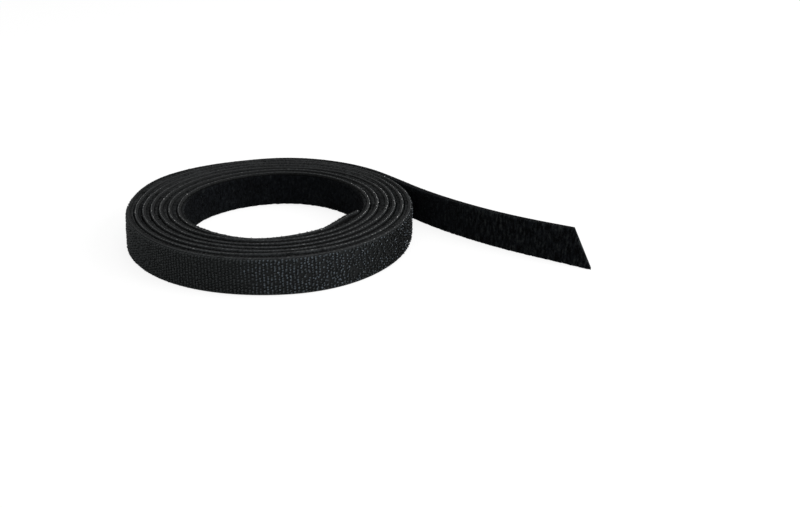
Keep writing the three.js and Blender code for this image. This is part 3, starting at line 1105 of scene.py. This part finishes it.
def on_coil(piece, slot, *nodes):
    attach(piece, "coil")
    if nodes:
        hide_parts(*nodes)


def on_tail(piece, slot, *nodes):
    start = wound(SEAM, HOOK_WEB[1], TAPE_WIDTH / 2)
    end = wound(COIL_LENGTH + BEND_AFTER, HOOK_WEB[1], TAPE_WIDTH / 2)
    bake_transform(piece)
    if nodes:
        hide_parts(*nodes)


def build_webs():
    corner = 0.09 * MM
    film_corner = 0.03 * MM
    rib = 0.07 * MM
    fine = HOOK_PITCH / 5
    coarse = 0.8 * MM
    rng = np.random.default_rng(5)
    spans = (("coil", 0, SEAM, on_coil), ("tail", SEAM, TAPE_LENGTH, on_tail))
    for where, first, last, fix in spans:
        fix(add_web(f"hook_ground_{where}", first, last, fine, HOOK_WEB, corner, rib, HOOK_WEB_CLOTH),
            "hook_web", f"hook_web_{where}")
        fix(add_web(f"bond_line_{where}", first, last, coarse, BOND_FILM, film_corner, 0, ADHESIVE),
            "bond_film", f"bond_film_{where}")
        fix(add_web(f"loop_ground_{where}", first, last, coarse, LOOP_WEB, corner, 0, LOOP_WEB_CLOTH),
            "loop_web", f"loop_web_{where}")
        for edge, top in (("top", True), ("bottom", False)):
            end = min(last, tail_end(TAPE_WIDTH if top else 0))
            fix(add_selvedge(f"selvedge_{edge}_{where}", first, end, top, rng), "hook_web")
    heights = rng.uniform(*FRAY_HEIGHTS, FRAYED_ENDS)
    on_coil(add_fray("fray_inner_end", np.zeros(FRAYED_ENDS), heights, -1, rng), "hook_web")


def build_pile():
    bed_step, tail_bed_step = 0.6 * MM, 0.4 * MM
    rng = np.random.default_rng(11)
    on_coil(add_pile_bed("pile_bed_coil", 0, SEAM, bed_step, rng), "loop_pile", "loop_pile_coil")
    on_tail(add_pile_bed("pile_bed_tail", SEAM, TAPE_LENGTH, tail_bed_step, rng),
            "loop_pile", "loop_pile_tail")
    low = PILE_MARGIN + LOOP_INSET
    high = TAPE_WIDTH - low
    lengths = rng.uniform(BORE_LOOPS_FROM, FIRST_TURN, BORE_LOOPS)
    heights = rng.uniform(low, high, BORE_LOOPS)
    on_coil(face_loops("pile_loops_bore", lengths, heights, rng), "loop_pile")
    lengths = rng.uniform(COIL_LENGTH + TAIL_LOOPS_FROM, TAPE_LENGTH, TAIL_LOOPS)
    heights = rng.uniform(low, high, TAIL_LOOPS)
    kept = lengths < tail_end(heights, 0)
    on_tail(face_loops("pile_loops_tail", lengths[kept], heights[kept], rng), "loop_pile")
    for where, top in (("top", True), ("bottom", False)):
        lengths = rng.uniform(0, SEAM, COIL_EDGE_LOOPS)
        on_coil(edge_loops(f"pile_{where}_coil", lengths, top, rng), "loop_pile")
        lengths = rng.uniform(SEAM, tail_end(TAPE_WIDTH if top else 0), TAIL_EDGE_LOOPS)
        on_tail(edge_loops(f"pile_{where}_tail", lengths, top, rng), "loop_pile")


def build_hooks():
    rng = np.random.default_rng(23)
    every = np.arange(LAST_TURN_START, TAPE_LENGTH, HOOK_PITCH)
    free = every > SEAM - HOOK_BEFORE_SEAM
    for where, columns, fix in (("coil", every[~free], on_coil), ("tail", every[free], on_tail)):
        heights = hook_heights(columns)
        lengths = np.broadcast_to(columns[:, None], heights.shape)
        hooks = add_hooks(f"hooks_{where}", lengths.ravel(), heights.ravel(), rng)
        fix(hooks, "hook_rows", f"hook_rows_{where}")
    columns = np.arange(0.5 * MM, LAST_TURN_START, HOOK_PITCH)
    columns = columns[room_outside(coil_turn(columns), TAPE_WIDTH) > HOOK_ROOM]
    lengths = np.repeat(columns, 2)
    inset = rng.uniform(*INNER_HOOK_INSET, lengths.shape)
    heights = np.where(np.arange(len(lengths)) % 2, inset, TAPE_WIDTH - inset)
    on_coil(add_hooks("hooks_between_turns", lengths, heights, rng), "hook_rows")


build_webs()
build_pile()
build_hooks()


# Stage, light and camera

def seen_directly(tree):
    """1 for rays from the camera and for what gloss and glass show of the background."""
    path = node(tree, "ShaderNodeLightPath")
    either = larger(tree, path.outputs["Is Camera Ray"], path.outputs["Is Glossy Ray"])
    return larger(tree, either, path.outputs["Is Transmission Ray"])


def add_floor():
    half = 3.0
    corners = [(-half, -half, 0), (half, -half, 0), (half, half, 0), (-half, half, 0)]
    mesh = bpy.data.meshes.new("floor")
    mesh.from_pydata(corners, [], [(0, 1, 2, 3)])
    floor = bpy.data.objects.new("floor", mesh)
    bpy.context.scene.collection.objects.link(floor)
    material = bpy.data.materials.new("floor_white")
    material.use_nodes = True
    tree = material.node_tree
    tree.nodes.clear()
    paper = node(tree, "ShaderNodeBsdfDiffuse")
    glow = node(tree, "ShaderNodeEmission")
    camera_only = node(tree, "ShaderNodeLightPath").outputs["Is Camera Ray"]
    pale, seen = (0.82, 0.82, 0.82), (0.22, 0.22, 0.22)
    glow_seen = 0.84
    tree.links.new(mix_colour(tree, camera_only, pale, seen), paper.inputs["Color"])
    tree.links.new(times(tree, camera_only, glow_seen), glow.inputs["Strength"])
    both = node(tree, "ShaderNodeAddShader")
    tree.links.new(paper.outputs["BSDF"], both.inputs[0])
    tree.links.new(glow.outputs["Emission"], both.inputs[1])
    output = node(tree, "ShaderNodeOutputMaterial")
    tree.links.new(both.outputs["Shader"], output.inputs["Surface"])
    mesh.materials.append(material)


def add_world():
    world = bpy.data.worlds.new("studio")
    bpy.context.scene.world = world
    world.use_nodes = True
    tree = world.node_tree
    background = tree.nodes["Background"]
    background.inputs["Color"].default_value = (1, 1, 1, 1)
    lighting, shown = 0.3, 1.0
    strength = map_range(tree, seen_directly(tree), 0, 1, lighting, shown)
    tree.links.new(strength, background.inputs["Strength"])


def add_softbox(name, place, target, size, power):
    light = bpy.data.lights.new(name, "AREA")
    light.shape = "RECTANGLE"
    light.size, light.size_y = size
    light.energy = power
    box = bpy.data.objects.new(name, light)
    bpy.context.scene.collection.objects.link(box)
    box.location = place
    box.rotation_euler = (Vector(target) - Vector(place)).to_track_quat("-Z", "Y").to_euler()


def add_camera():
    data = bpy.data.cameras.new("camera")
    data.lens = CAMERA_LENS
    data.sensor_width = 36
    data.clip_start = 0.01
    camera = bpy.data.objects.new("camera", data)
    bpy.context.scene.collection.objects.link(camera)
    level = math.cos(CAMERA_PITCH)
    forward = Vector((math.sin(CAMERA_YAW) * level, math.cos(CAMERA_YAW) * level, -math.sin(CAMERA_PITCH)))
    right = Vector((math.cos(CAMERA_YAW), -math.sin(CAMERA_YAW), 0))
    up = right.cross(forward)
    tilt = Matrix.Rotation(-CAMERA_ROLL, 3, forward)
    right, up = tilt @ right, tilt @ up
    turned = Matrix((right, up, -forward)).transposed().to_4x4()
    place = Vector((COIL_AXIS.x, COIL_AXIS.y - CAMERA_BACK, CAMERA_UP))
    camera.matrix_world = Matrix.Translation(place) @ turned
    bpy.context.scene.camera = camera


add_floor()
add_world()
add_softbox("overhead", (0.1, -0.1, 0.9), (0, 0, 0), (0.9, 0.9), 4)
add_softbox("right", (0.75, -0.15, 0.45), (0, 0, 0), (0.7, 0.6), 5)
add_camera()
bpy.context.scene.view_settings.view_transform = "Standard"
